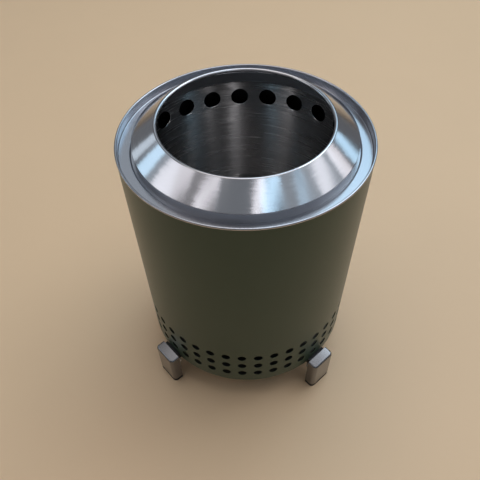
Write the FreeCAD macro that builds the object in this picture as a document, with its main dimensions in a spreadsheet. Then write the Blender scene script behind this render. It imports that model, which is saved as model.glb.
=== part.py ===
import FreeCAD, Part
import os
import re

import Sketcher

# Tabletop smokeless fire pit: a double-walled steel drum that stands in a four-footed stand.
# A lift-off flame ring sits in the rim, and a lift-out adapter for pellets stands on the grate.
# Lengths are in millimetres and angles in degrees.
# The origin is on the table under the middle of the drum, +Z is up and the front faces -Y.

SIZES = {
    # Whole drum
    "rim_height": 165.0,            # table to the top of the rim
    "rim_radius": 65.0,             # outside of the rim's lip
    "ground_clearance": 22.5,       # table to the drum's bottom edge
    "weld_gap": 0.05,               # between sheets that are welded together
    "overrun": 1.0,                 # how far a cut runs past what it cuts
    # Outer wall
    "wall_sheet": 0.5,
    "vent_diameter": 5.1,
    "vent_pitch": 9.3,              # between the three rows
    "vent_margin": 9.4,             # bottom edge to the lowest row
    # Rim collar
    "collar_sheet": 0.5,
    "lip_overhang": 0.25,           # how far the lip stands out over the wall
    "lip_height": 0.8,
    "lip_round": 0.35,
    "shelf_depth": 4.7,             # top of the rim to the shelf
    "shelf_corner_round": 0.45,
    "shelf_edge_round": 0.6,
    "collar_bend": 0.9,
    "shelf_width": 6.1,
    "seat_depth": 1.0,              # shelf to the seat of the flame ring
    "seat_overlap": 0.1,            # how far the seat reaches in past the skirt
    # Firebox wall
    "firebox_sheet": 0.5,
    "firebox_depth": 103.0,         # top of the rim to the firebox's bottom
    "firebox_bend": 0.8,            # inside radius of the turned-in bottom edge
    "firebox_clearance": 0.7,       # to the step of the collar that hangs into it
    "ledge_width": 3.5,             # turned-in edge that carries the grate
    "jet_diameter": 10.2,
    "jet_drop": 17.8,               # top of the rim to the middle of the air jets
    # Fuel grate
    "grate_sheet": 0.8,
    "grate_clearance": 0.2,
    "grate_hole_diameter": 5.5,
    # Base plate and ash tray
    "base_sheet": 0.6,
    "base_flange": 5.0,
    "base_bend": 0.8,
    "tray_side_gap": 12.25,         # tray to the outer wall
    "tray_sheet": 0.5,
    "tray_rim": 5.0,
    "tray_bend": 1.5,
    "tray_gap": 6.4,                # length of the spacers under the tray
    "spacer_radius": 3.0,
    "rivet_inset": 12.0,            # from the tray's edge
    "rivet_radius": 1.5,
    "rivet_clearance": 0.05,
    "rivet_head_radius": 2.5,
    "rivet_head_height": 1.0,
    "rivet_head_bevel": 0.6,
    # Clips that keep the firebox in the middle of the wall
    "clip_sheet": 0.5,
    "clip_leg": 6.0,
    "clip_start": 3.0,              # firebox bottom to the clip's web
    # Flame ring
    "cone_width": 14.0,             # foot to the opening, seen from above
    "cone_overhang": 0.5,           # how far the foot stands out over the skirt
    "cone_foot_height": 0.15,       # above the top of the rim
    "cone_sheet": 0.6,
    "bead_radius": 1.2,
    "bead_drop": 2.65,              # sharp corner of the cone to the end of the rolled edge
    "skirt_sheet": 0.5,
    "ring_clearance": 1.3,          # skirt to the wall of its seat
    # Pellet adapter
    "adapter_clearance": 1.0,       # pan to the seat that it passes when it is lifted out
    "pan_sheet": 0.5,
    "pan_rim": 9.0,
    "pan_bend": 1.5,
    "pan_hole_diameter": 3.0,
    "tube_radius": 18.0,
    "tube_sheet": 0.5,
    "cap_drop": 43.0,               # top of the rim to the top of the cap
    "tube_hole_diameter": 3.0,
    "tube_hole_drop": 8.0,          # tube's end to the first row, and from row to row
    "cap_sheet": 0.5,
    "cap_round": 0.3,
    "cap_spigot": 4.0,
    "cap_clearance": 0.1,
    "cap_hole_diameter": 3.0,
    # Stand
    "stand_sheet": 1.5,
    "stand_ring_inset": 5.75,       # wall to the outside of the ring
    "stand_ring_width": 13.0,
    "arm_width": 12.0,
    "tab_drop": 12.0,
    # Feet
    "foot_gap": 2.25,               # wall to the foot's inner face
    "foot_thickness": 6.4,
    "foot_width": 17.1,
    "foot_rise": 4.2,               # drum's bottom edge to the top of the foot
    "foot_corner_round": 2.6,
    "foot_edge_round": 1.3,
    "sole_thickness": 2.8,
    "sole_inset": 0.15,
    # Bumpers between the drum and the feet
    "bumper_seat": 1.0,             # thickness under the drum
    "bumper_reach": 7.75,           # how far it reaches in under the wall
    "bumper_width": 13.0,
    "bumper_clearance": 0.3,        # to the wall
    "bumper_shortfall": 0.5,        # below the top of the foot
    # Screws of the feet
    "screw_radius": 1.5,
    "screw_clearance": 0.1,
    "screw_bite": 3.8,
    "screw_spacing": 6.6,
    "screw_drop": 6.5,              # stand's top face to the screws
    "screw_head_radius": 2.6,
    "screw_head_height": 1.6,
    "screw_head_bevel": 0.5,
    "socket_radius": 1.0,
    "socket_depth": 0.9,
}

ANGLES = {
    "jet_turn": 5.9,                # first jet, from straight back
    "clip_sweep": 7.5,              # width round the axis, as an angle
    "cone_slope": 36.9,
    "foot_turn": 45.0,              # first foot, from +X
}

COUNTS = {
    "vent_columns": 42,
    "jet_count": 22,
    "rivet_count": 4,
    "tube_columns": 12,
    "tube_rows": 5,
}

WORKED_OUT = {
    "wall_radius": "rim_radius - lip_overhang",
    "wall_inner": "wall_radius - wall_sheet",
    "wall_height": "rim_height - lip_height - ground_clearance",
    "flange_outer": "wall_inner - weld_gap",
    "flange_inner": "flange_outer - collar_sheet",
    "seat_wall": "flange_inner - shelf_width",
    "skirt_radius": "seat_wall - ring_clearance",
    "skirt_inner": "skirt_radius - skirt_sheet",
    "cone_foot_radius": "skirt_radius + cone_overhang",
    "opening_radius": "cone_foot_radius - cone_width",
    "seat_inner": "skirt_inner - seat_overlap",
    "seat_level": "-shelf_depth - seat_depth",
    "shelf_underside": "-shelf_depth - collar_sheet",
    "firebox_inner": "seat_wall + collar_sheet + firebox_clearance",
    "firebox_outer": "firebox_inner + firebox_sheet",
    "firebox_bottom": "rim_height - firebox_depth",
    "firebox_height": "firebox_depth + shelf_underside",
    "ledge_inner": "firebox_inner - ledge_width",
    "jet_height": "firebox_depth - jet_drop",
    "grate_radius": "firebox_inner - firebox_bend - grate_clearance",
    "grate_bottom": "firebox_bottom + firebox_sheet",
    "grate_top": "grate_bottom + grate_sheet",
    "tray_bottom": "ground_clearance + base_sheet + tray_gap",
    "tray_radius": "wall_inner - tray_side_gap",
    "rivet_circle": "tray_radius - rivet_inset",
    "rivet_hole_diameter": "2 * (rivet_radius + rivet_clearance)",
    "rivet_grip": "base_sheet + tray_gap + tray_sheet",
    "cone_tip_height": "cone_foot_height + (cone_foot_radius - opening_radius) * tan(cone_slope)",
    "cone_tip_underside": "cone_tip_height - cone_sheet * tan(cone_slope) - cone_sheet / cos(cone_slope)",
    "skirt_top": "cone_foot_height + (cone_foot_radius - skirt_radius) * tan(cone_slope)"
                 " - cone_sheet / cos(cone_slope) - weld_gap",
    "pan_radius": "seat_inner - adapter_clearance",
    "tube_inner": "tube_radius - tube_sheet",
    "tube_bottom": "grate_top + pan_sheet",
    "tube_top": "rim_height - cap_drop - cap_sheet",
    "tube_height": "tube_top - tube_bottom",
    "spigot_radius": "tube_inner - cap_clearance",
    "stand_top": "ground_clearance - bumper_seat",
    "stand_bottom": "stand_top - stand_sheet",
    "stand_ring_outer": "wall_radius - stand_ring_inset",
    "stand_ring_inner": "stand_ring_outer - stand_ring_width",
    "foot_inner": "wall_radius + foot_gap",
    "foot_outer": "foot_inner + foot_thickness",
    "foot_height": "ground_clearance + foot_rise - sole_thickness",
    "tab_inner": "foot_inner - stand_sheet",
    "bumper_inner": "wall_radius - bumper_reach",
    "bumper_face": "wall_radius + bumper_clearance",
    "bumper_height": "bumper_seat + foot_rise - bumper_shortfall",
    "screw_hole_radius": "screw_radius + screw_clearance",
    "screw_height": "stand_top - screw_drop",
    "screw_head_face": "tab_inner - screw_head_height",
}

# Rings of holes: the circle as a share of the plate's radius, and how many holes lie on it.
GRATE_RING_SHARES = ((0.17, 6), (0.35, 12), (0.53, 18), (0.71, 24), (0.88, 30))
PAN_RING_SHARES = ((0.45, 16), (0.63, 24), (0.82, 32))
CAP_RING_SHARES = ((0.56, 8),)

VENT_ROWS = 3
QUARTER_TURN = 90
MATCH = 1e-4
CORNER_NAMES = ("rear_right", "rear_left", "front_left", "front_right")
SIDE_NAMES = ("right", "rear", "left", "front")

doc = FreeCAD.newDocument("fire_pit")
sheet = doc.addObject("Spreadsheet::Sheet", "Sizes")


def fill_sheet():
    cells = {**SIZES, **ANGLES, **COUNTS}
    for row, (name, size) in enumerate(cells.items(), start=1):
        sheet.set(f"A{row}", name)
        sheet.set(f"B{row}", str(size))
        sheet.setAlias(f"B{row}", name)
    doc.recompute()


def bound(text):
    """The same expression with each name replaced by its formula or its cell."""
    def cell(found):
        name = found.group(0)
        if name in WORKED_OUT:
            return f"({bound(WORKED_OUT[name])})"
        return f"Sizes.{name}"
    return re.sub(r"\b[a-z][a-z_]*\b(?!\()", cell, text)


def value(text):
    return float(sheet.evalExpression(bound(text)))


def new_body(label, height="0", turn="0"):
    body = doc.addObject("PartDesign::Body", label)
    body.Label = label
    body.setExpression("Placement.Base.z", bound(height))
    body.setExpression("Placement.Rotation.Angle", bound(turn))
    return body


def origin_feature(body, role):
    return next(item for item in body.Origin.OriginFeatures if item.Role == role)


def new_sketch(body, name, role, offset="0"):
    sketch = body.newObject("Sketcher::SketchObject", name)
    sketch.AttachmentSupport = (origin_feature(body, role), [""])
    sketch.MapMode = "FlatFace"
    sketch.setExpression("AttachmentOffset.Base.z", bound(offset))
    return sketch


def pin(sketch, item, point, across, up):
    """Holds one point of a sketch at two expressions from the sketch's origin."""
    for kind, text, axis in (("DistanceX", across, -2), ("DistanceY", up, -1)):
        if text == "0":
            sketch.addConstraint(Sketcher.Constraint("PointOnObject", item, point, axis))
            continue
        number = sketch.addConstraint(Sketcher.Constraint(kind, -1, 1, item, point, value(text)))
        sketch.setExpression(f"Constraints[{number}]", bound(text))


def draw_outline(sketch, corners):
    """A closed outline of straight lines, each corner held by its two expressions."""
    points = [FreeCAD.Vector(value(across), value(up), 0) for across, up in corners]
    items = []
    for start, end in zip(points, points[1:] + points[:1]):
        items.append(sketch.addGeometry(Part.LineSegment(start, end)))
    for item, following in zip(items, items[1:] + items[:1]):
        sketch.addConstraint(Sketcher.Constraint("Coincident", item, 2, following, 1))
    for item, (across, up) in zip(items, corners):
        pin(sketch, item, 1, across, up)


def draw_circle(sketch, across, up, radius):
    centre = FreeCAD.Vector(value(across), value(up), 0)
    item = sketch.addGeometry(Part.Circle(centre, FreeCAD.Vector(0, 0, 1), value(radius)))
    number = sketch.addConstraint(Sketcher.Constraint("Radius", item, value(radius)))
    sketch.setExpression(f"Constraints[{number}]", bound(radius))
    pin(sketch, item, 3, across, up)


def draw_axis(sketch, start, end):
    """A construction line that a profile turns about."""
    points = [FreeCAD.Vector(value(across), value(up), 0) for across, up in (start, end)]
    item = sketch.addGeometry(Part.LineSegment(*points), True)
    pin(sketch, item, 1, *start)
    pin(sketch, item, 2, *end)


def add_pad(body, name, sketch, length, downward=False, centred=False):
    pad = body.newObject("PartDesign::Pad", name)
    pad.Profile = sketch
    pad.setExpression("Length", bound(length))
    pad.Reversed = downward
    pad.SideType = "Symmetric" if centred else "One side"
    return pad


def revolve(body, name, sketch, axis="V_Axis", sweep=None):
    turned = body.newObject("PartDesign::Revolution", name)
    turned.Profile = sketch
    turned.ReferenceAxis = (sketch, [axis])
    if sweep:
        turned.setExpression("Angle", bound(sweep))
        turned.Midplane = True
    return turned


def cut_pocket(body, name, sketch, length, forward=False):
    doc.recompute()
    before = body.Shape.Volume
    pocket = body.newObject("PartDesign::Pocket", name)
    pocket.Profile = sketch
    pocket.setExpression("Length", bound(length))
    pocket.Reversed = forward
    doc.recompute()
    if body.Shape.Volume >= before:
        raise RuntimeError(f"{body.Label}: {name} cuts nothing")
    return pocket


def repeat_round(body, name, features, count):
    """Repeats features evenly round the body's own Z axis."""
    pattern = body.newObject("PartDesign::PolarPattern", name)
    pattern.Originals = features
    pattern.Axis = (origin_feature(body, "Z_Axis"), [""])
    pattern.Angle = 360
    pattern.setExpression("Occurrences", bound(str(count)))
    body.Tip = pattern
    return pattern


def punch_wall(body, name, heights, diameter, count, radius, thickness):
    """Columns of round holes through an upright wall, repeated round the axis."""
    sketch = new_sketch(body, f"{name}_outline", "XZ_Plane", f"{radius} + overrun")
    for height in heights:
        draw_circle(sketch, "0", height, f"{diameter} / 2")
    pocket = cut_pocket(body, name, sketch, f"{thickness} + 2 * overrun")
    repeat_round(body, f"{name}_round", [pocket], count)


def punch_floor(body, name, circle, diameter, count, thickness):
    """A ring of round holes through the flat floor that starts at the body's own zero."""
    sketch = new_sketch(body, f"{name}_outline", "XY_Plane")
    draw_circle(sketch, circle, "0", f"{diameter} / 2")
    pocket = cut_pocket(body, name, sketch, f"{thickness} + overrun", forward=True)
    repeat_round(body, f"{name}_round", [pocket], count)


def punch_rings(body, ring_shares, radius, diameter, thickness):
    """Rings of holes, each on a circle that is a share of the plate's radius."""
    for ring, (share, count) in enumerate(ring_shares, start=1):
        punch_floor(body, f"air_holes_{ring}", f"{radius} * {share}", diameter, count, thickness)


def rounded(body, name, radius, matches):
    """Rounds every edge of the body that the given test picks."""
    doc.recompute()
    edges = [f"Edge{number}" for number, edge in enumerate(body.Shape.Edges, start=1)
             if matches(body.Placement.inverse(), edge)]
    if not edges:
        raise RuntimeError(f"{body.Label}: {name} finds no edge")
    base = body.Tip
    fillet = body.newObject("PartDesign::Fillet", name)
    fillet.Base = (base, edges)
    fillet.setExpression("Radius", bound(radius))
    return fillet


def round_rings(body, name, radius, corners):
    """Rounds the circular edges that run through the given corners of a turned outline."""
    places = [(value(across), value(up)) for across, up in corners]

    def matches(to_own_frame, edge):
        if not isinstance(edge.Curve, Part.Circle):
            return False
        up = to_own_frame.multVec(edge.Curve.Center).z
        across = edge.Curve.Radius
        return any(abs(across - place[0]) < MATCH and abs(up - place[1]) < MATCH for place in places)

    return rounded(body, name, radius, matches)


def round_uprights(body, name, radius, across):
    """Rounds the upright edges at one distance along the body's own X."""
    place = value(across)

    def matches(to_own_frame, edge):
        ends = [to_own_frame.multVec(vertex.Point) for vertex in edge.Vertexes]
        return len(ends) == 2 and abs(ends[0].z - ends[1].z) > MATCH and all(
            abs(end.x - place) < MATCH for end in ends)

    return rounded(body, name, radius, matches)


def pressed_pan(label, height, radius, depth, thickness, bend, hole="0", turn="0"):
    """A round sheet with its edge turned up; the hole leaves a turned-in ledge or a ring."""
    body = new_body(label, height, turn)
    sketch = new_sketch(body, "profile", "XZ_Plane")
    draw_outline(sketch, [
        (hole, "0"),
        (radius, "0"),
        (radius, depth),
        (f"{radius} - {thickness}", depth),
        (f"{radius} - {thickness}", thickness),
        (hole, thickness),
    ])
    revolve(body, "pressing", sketch)
    round_rings(body, "inner_bend", bend, [(f"{radius} - {thickness}", thickness)])
    round_rings(body, "outer_bend", f"{bend} + {thickness}", [(radius, "0")])
    return body


# Drum

def make_outer_wall():
    body = new_body("outer_wall", "ground_clearance")
    sketch = new_sketch(body, "tube_outline", "XY_Plane")
    draw_circle(sketch, "0", "0", "wall_radius")
    draw_circle(sketch, "0", "0", "wall_inner")
    add_pad(body, "tube", sketch, "wall_height")
    heights = [f"vent_margin + {row} * vent_pitch" for row in range(VENT_ROWS)]
    punch_wall(body, "vents", heights, "vent_diameter", "vent_columns", "wall_radius", "wall_sheet")
    return body


def make_rim_collar():
    body = new_body("rim_collar", "rim_height")
    sketch = new_sketch(body, "profile", "XZ_Plane")
    draw_outline(sketch, [
        ("rim_radius", "-lip_height"),
        ("rim_radius", "0"),
        ("flange_inner", "0"),
        ("flange_inner", "-shelf_depth"),
        ("seat_wall", "-shelf_depth"),
        ("seat_wall", "seat_level"),
        ("seat_inner", "seat_level"),
        ("seat_inner", "seat_level - collar_sheet"),
        ("seat_wall + collar_sheet", "seat_level - collar_sheet"),
        ("seat_wall + collar_sheet", "shelf_underside"),
        ("flange_outer", "shelf_underside"),
        ("flange_outer", "-lip_height"),
    ])
    revolve(body, "pressing", sketch)
    round_rings(body, "lip_rounding", "lip_round", [("rim_radius", "0"), ("flange_inner", "0")])
    round_rings(body, "shelf_corner", "shelf_corner_round", [("flange_inner", "-shelf_depth")])
    round_rings(body, "shelf_edge", "shelf_edge_round", [("seat_wall", "-shelf_depth")])
    round_rings(body, "collar_outer_bend", "collar_bend", [("flange_outer", "shelf_underside")])
    return body


def make_firebox_wall():
    body = pressed_pan("firebox_wall", "firebox_bottom", "firebox_outer", "firebox_height",
                       "firebox_sheet", "firebox_bend", hole="ledge_inner", turn="jet_turn")
    punch_wall(body, "jets", ["jet_height"], "jet_diameter", "jet_count", "firebox_outer",
               "firebox_sheet")
    return body


def make_fuel_grate():
    body = new_body("fuel_grate", "grate_bottom")
    sketch = new_sketch(body, "disc_outline", "XY_Plane")
    draw_circle(sketch, "0", "0", "grate_radius")
    add_pad(body, "disc", sketch, "grate_sheet")
    punch_rings(body, GRATE_RING_SHARES, "grate_radius", "grate_hole_diameter", "grate_sheet")
    return body


def make_base_plate():
    body = pressed_pan("base_plate", "ground_clearance", "flange_outer", "base_flange",
                       "base_sheet", "base_bend")
    punch_floor(body, "rivet_holes", "rivet_circle", "rivet_hole_diameter", "rivet_count", "base_sheet")
    return body


def make_ash_tray():
    body = pressed_pan("ash_tray", "tray_bottom", "tray_radius", "tray_rim", "tray_sheet", "tray_bend")
    punch_floor(body, "rivet_holes", "rivet_circle", "rivet_hole_diameter", "rivet_count", "tray_sheet")
    return body


def make_tray_spacers():
    body = new_body("tray_spacers", "ground_clearance + base_sheet")
    sketch = new_sketch(body, "ring_outline", "XY_Plane")
    draw_circle(sketch, "rivet_circle", "0", "spacer_radius")
    draw_circle(sketch, "rivet_circle", "0", "rivet_hole_diameter / 2")
    pad = add_pad(body, "spacer", sketch, "tray_gap")
    repeat_round(body, "spacers", [pad], "rivet_count")
    return body


def make_tray_rivets():
    body = new_body("tray_rivets", "ground_clearance")
    sketch = new_sketch(body, "profile", "XZ_Plane")
    top = "rivet_grip + rivet_head_height"
    draw_outline(sketch, [
        ("rivet_circle", "-rivet_head_height"),
        ("rivet_circle + rivet_head_radius - rivet_head_bevel", "-rivet_head_height"),
        ("rivet_circle + rivet_head_radius", "rivet_head_bevel - rivet_head_height"),
        ("rivet_circle + rivet_head_radius", "0"),
        ("rivet_circle + rivet_radius", "0"),
        ("rivet_circle + rivet_radius", "rivet_grip"),
        ("rivet_circle + rivet_head_radius", "rivet_grip"),
        ("rivet_circle + rivet_head_radius", f"{top} - rivet_head_bevel"),
        ("rivet_circle + rivet_head_radius - rivet_head_bevel", top),
        ("rivet_circle", top),
    ])
    draw_axis(sketch, ("rivet_circle", "0"), ("rivet_circle", "rivet_grip"))
    rivet = revolve(body, "rivet", sketch, "Axis0")
    repeat_round(body, "rivets", [rivet], "rivet_count")
    return body


def make_centring_clip(side, index):
    """A Z-shaped strip: one leg on the firebox, one on the outer wall, and a web between them."""
    body = new_body(f"{side}_centring_clip", "firebox_bottom + clip_start", f"{index * QUARTER_TURN}")
    sketch = new_sketch(body, "profile", "XZ_Plane")
    inner = "firebox_outer + weld_gap"
    draw_outline(sketch, [
        (inner, "0"),
        ("flange_outer - clip_sheet", "0"),
        ("flange_outer - clip_sheet", "-clip_leg"),
        ("flange_outer", "-clip_leg"),
        ("flange_outer", "clip_sheet"),
        (f"{inner} + clip_sheet", "clip_sheet"),
        (f"{inner} + clip_sheet", "clip_leg"),
        (inner, "clip_leg"),
    ])
    revolve(body, "strip", sketch, sweep="clip_sweep")
    return body


# Flame ring

def make_flame_ring_cone():
    body = new_body("flame_ring_cone", "rim_height")
    sketch = new_sketch(body, "profile", "XZ_Plane")
    draw_outline(sketch, [
        ("cone_foot_radius", "cone_foot_height"),
        ("opening_radius", "cone_tip_height"),
        ("opening_radius", "cone_tip_height - bead_drop"),
        ("opening_radius + cone_sheet", "cone_tip_height - bead_drop"),
        ("opening_radius + cone_sheet", "cone_tip_underside"),
        ("cone_foot_radius - cone_sheet * sin(cone_slope)",
         "cone_foot_height - cone_sheet * cos(cone_slope)"),
    ])
    revolve(body, "pressing", sketch)
    round_rings(body, "bead", "bead_radius", [("opening_radius", "cone_tip_height")])
    round_rings(body, "bead_inside", "bead_radius - cone_sheet",
                [("opening_radius + cone_sheet", "cone_tip_underside")])
    return body


def make_flame_ring_skirt():
    body = new_body("flame_ring_skirt", "rim_height + seat_level")
    sketch = new_sketch(body, "skirt_outline", "XY_Plane")
    draw_circle(sketch, "0", "0", "skirt_radius")
    draw_circle(sketch, "0", "0", "skirt_inner")
    add_pad(body, "skirt", sketch, "skirt_top - seat_level")
    return body


# Pellet adapter

def make_pellet_pan():
    body = pressed_pan("pellet_pan", "grate_top", "pan_radius", "pan_rim", "pan_sheet", "pan_bend",
                       hole="tube_inner")
    punch_rings(body, PAN_RING_SHARES, "pan_radius", "pan_hole_diameter", "pan_sheet")
    return body


def make_air_tube():
    body = new_body("air_tube", "tube_bottom")
    sketch = new_sketch(body, "tube_outline", "XY_Plane")
    draw_circle(sketch, "0", "0", "tube_radius")
    draw_circle(sketch, "0", "0", "tube_inner")
    add_pad(body, "tube", sketch, "tube_height")
    rows = COUNTS["tube_rows"]
    heights = [f"tube_height - {row} * tube_hole_drop" for row in range(1, rows + 1)]
    punch_wall(body, "air_holes", heights, "tube_hole_diameter", "tube_columns", "tube_radius",
               "tube_sheet")
    return body


def make_air_tube_cap():
    body = new_body("air_tube_cap", "tube_top")
    sketch = new_sketch(body, "profile", "XZ_Plane")
    draw_outline(sketch, [
        ("0", "0"),
        ("spigot_radius - cap_sheet", "0"),
        ("spigot_radius - cap_sheet", "-cap_spigot"),
        ("spigot_radius", "-cap_spigot"),
        ("spigot_radius", "0"),
        ("tube_radius", "0"),
        ("tube_radius", "cap_sheet"),
        ("0", "cap_sheet"),
    ])
    revolve(body, "pressing", sketch)
    round_rings(body, "cap_edge", "cap_round", [("tube_radius", "cap_sheet")])
    punch_rings(body, CAP_RING_SHARES, "tube_radius", "cap_hole_diameter", "cap_sheet")
    return body


# Stand

def make_stand_ring():
    """A flat ring with four arms; each arm ends in a tab that hangs against its foot."""
    body = new_body("stand_ring", "stand_bottom", "foot_turn")
    ring = new_sketch(body, "ring_outline", "XY_Plane")
    draw_circle(ring, "0", "0", "stand_ring_outer")
    draw_circle(ring, "0", "0", "stand_ring_inner")
    add_pad(body, "ring", ring, "stand_sheet")
    arm = new_sketch(body, "arm_outline", "XY_Plane")
    draw_outline(arm, block_corners("stand_ring_outer - stand_ring_width / 2", "foot_inner", "arm_width"))
    arm_pad = add_pad(body, "arm", arm, "stand_sheet")
    tab = new_sketch(body, "tab_outline", "XY_Plane")
    draw_outline(tab, block_corners("tab_inner", "foot_inner", "arm_width"))
    tab_pad = add_pad(body, "tab", tab, "tab_drop", downward=True)
    holes = new_sketch(body, "screw_hole_outline", "YZ_Plane", "tab_inner - overrun")
    for side in ("", "-"):
        draw_circle(holes, f"{side}screw_spacing / 2", "screw_height - stand_bottom", "screw_hole_radius")
    pocket = cut_pocket(body, "screw_holes", holes, "stand_sheet + 2 * overrun", forward=True)
    repeat_round(body, "arms", [arm_pad, tab_pad, pocket], len(CORNER_NAMES))
    return body


def block_corners(inner, outer, width):
    """Corners of a rectangle that lies across the body's own X axis."""
    return [
        (inner, f"-({width}) / 2"),
        (outer, f"-({width}) / 2"),
        (outer, f"({width}) / 2"),
        (inner, f"({width}) / 2"),
    ]


def corner_turn(index):
    return f"foot_turn + {index * QUARTER_TURN}"


def make_foot(corner, index):
    body = new_body(f"{corner}_foot", "sole_thickness", corner_turn(index))
    sketch = new_sketch(body, "block_outline", "XY_Plane")
    draw_outline(sketch, block_corners("foot_inner", "foot_outer", "foot_width"))
    add_pad(body, "block", sketch, "foot_height")
    holes = new_sketch(body, "screw_hole_outline", "YZ_Plane", "foot_inner")
    for side in ("", "-"):
        draw_circle(holes, f"{side}screw_spacing / 2", "screw_height - sole_thickness", "screw_hole_radius")
    cut_pocket(body, "screw_holes", holes, "screw_bite + screw_clearance", forward=True)
    round_uprights(body, "corners", "foot_corner_round", "foot_outer")
    round_foot_top(body)
    return body


def round_foot_top(body):
    """Rounds the top edges of a foot, but for the one against its bumper."""
    top = value("foot_height")
    inner = value("foot_inner")

    def matches(to_own_frame, edge):
        ends = [to_own_frame.multVec(vertex.Point) for vertex in edge.Vertexes]
        on_top = all(abs(end.z - top) < MATCH for end in ends)
        return on_top and any(abs(end.x - inner) > MATCH for end in ends)

    return rounded(body, "top_edge", "foot_edge_round", matches)


def make_sole(corner, index):
    body = new_body(f"{corner}_sole", turn=corner_turn(index))
    sketch = new_sketch(body, "sole_outline", "XY_Plane")
    draw_outline(sketch, block_corners("foot_inner + sole_inset", "foot_outer - sole_inset",
                                       "foot_width - 2 * sole_inset"))
    add_pad(body, "sole", sketch, "sole_thickness")
    round_uprights(body, "corners", "foot_corner_round - sole_inset", "foot_outer - sole_inset")
    return body


def make_bumper(corner, index):
    """An L-shaped silicone block: the drum stands on one leg, and the other lines the foot."""
    body = new_body(f"{corner}_bumper", "stand_top", corner_turn(index))
    sketch = new_sketch(body, "profile", "XZ_Plane")
    draw_outline(sketch, [
        ("bumper_inner", "0"),
        ("foot_inner", "0"),
        ("foot_inner", "bumper_height"),
        ("bumper_face", "bumper_height"),
        ("bumper_face", "bumper_seat"),
        ("bumper_inner", "bumper_seat"),
    ])
    add_pad(body, "block", sketch, "bumper_width", centred=True)
    return body


def make_foot_screws():
    """Two socket screws in each foot, with their heads inside the tabs."""
    body = new_body("foot_screws", "screw_height", "foot_turn")
    screws = []
    for number, side in enumerate(("", "-"), start=1):
        sketch = new_sketch(body, f"profile_{number}", "XZ_Plane", f"{side}screw_spacing / 2")
        draw_outline(sketch, [
            ("screw_head_face + socket_depth", "0"),
            ("screw_head_face + socket_depth", "socket_radius"),
            ("screw_head_face", "socket_radius"),
            ("screw_head_face", "screw_head_radius - screw_head_bevel"),
            ("screw_head_face + screw_head_bevel", "screw_head_radius"),
            ("tab_inner", "screw_head_radius"),
            ("tab_inner", "screw_radius"),
            ("foot_inner + screw_bite", "screw_radius"),
            ("foot_inner + screw_bite", "0"),
        ])
        screws.append(revolve(body, f"screw_{number}", sketch, "H_Axis"))
    repeat_round(body, "screws", screws, len(CORNER_NAMES))
    return body


def make_parts():
    parts = [
        make_outer_wall(),
        make_rim_collar(),
        make_firebox_wall(),
        make_fuel_grate(),
        make_base_plate(),
        make_ash_tray(),
        make_tray_spacers(),
        make_tray_rivets(),
        make_flame_ring_cone(),
        make_flame_ring_skirt(),
        make_pellet_pan(),
        make_air_tube(),
        make_air_tube_cap(),
        make_stand_ring(),
        make_foot_screws(),
    ]
    parts += [make_centring_clip(side, index) for index, side in enumerate(SIDE_NAMES)]
    for index, corner in enumerate(CORNER_NAMES):
        parts += [make_foot(corner, index), make_sole(corner, index), make_bumper(corner, index)]
    doc.recompute()
    return parts


def check_parts(parts):
    for item in doc.Objects:
        if "Invalid" in item.State or "Error" in item.State:
            raise RuntimeError(f"{item.Label}: {item.State}")
    for part in parts:
        if part.Shape.isNull() or not part.Shape.isValid():
            raise RuntimeError(f"{part.Label} has no valid shape")


def write_parts(parts):
    os.makedirs("parts", exist_ok=True)
    for part in parts:
        part.Shape.exportStep(f"parts/{part.Label}.step")
        print(f"{part.Label}: {len(part.Shape.Solids)} solids, {part.Shape.Volume:.0f} mm3")


fill_sheet()
all_parts = make_parts()
check_parts(all_parts)
write_parts(all_parts)
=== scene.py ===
"""A tabletop smokeless fire pit: a double-walled steel drum on a four-footed stand."""

from math import atan2, cos, pi, radians, sin, tan, tau

import bmesh
import bpy
from mathutils import Matrix, Vector


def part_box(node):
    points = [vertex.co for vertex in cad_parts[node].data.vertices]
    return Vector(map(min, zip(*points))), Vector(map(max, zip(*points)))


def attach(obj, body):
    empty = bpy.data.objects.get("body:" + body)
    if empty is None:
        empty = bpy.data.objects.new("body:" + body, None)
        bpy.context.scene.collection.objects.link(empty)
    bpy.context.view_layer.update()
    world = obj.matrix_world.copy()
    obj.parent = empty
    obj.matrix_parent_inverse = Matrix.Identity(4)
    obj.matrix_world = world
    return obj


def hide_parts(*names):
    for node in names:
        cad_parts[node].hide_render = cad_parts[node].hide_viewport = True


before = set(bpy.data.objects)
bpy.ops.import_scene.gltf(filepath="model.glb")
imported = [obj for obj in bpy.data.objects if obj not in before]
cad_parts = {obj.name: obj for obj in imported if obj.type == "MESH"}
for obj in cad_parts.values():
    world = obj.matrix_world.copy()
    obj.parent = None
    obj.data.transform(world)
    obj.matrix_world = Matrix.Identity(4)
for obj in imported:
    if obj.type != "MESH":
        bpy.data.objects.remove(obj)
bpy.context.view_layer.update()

# The table top and the room.
# The camera looks down into the drum from the front, from about a quarter of a metre away.
# The table is a warm pale board, and soft windows and lamps stand all round it and above it.

RIM_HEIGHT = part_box("rim_collar")[1].z
CAMERA_AZIMUTH = radians(-87.15)
CAMERA_ELEVATION = radians(37.126)
CAMERA_DISTANCE = 0.25292
CAMERA_YAW = radians(0.738)
CAMERA_PITCH = radians(12.234)
CAMERA_ROLL = radians(0.685)
SENSOR_WIDTH = 36.0
FOCAL_LENGTH = 37.19
NEAREST_SEEN = 0.01


def heading(azimuth, elevation):
    """The direction at an azimuth from +X and an elevation above the table."""
    return Vector((cos(elevation) * cos(azimuth), cos(elevation) * sin(azimuth), sin(elevation)))


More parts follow.
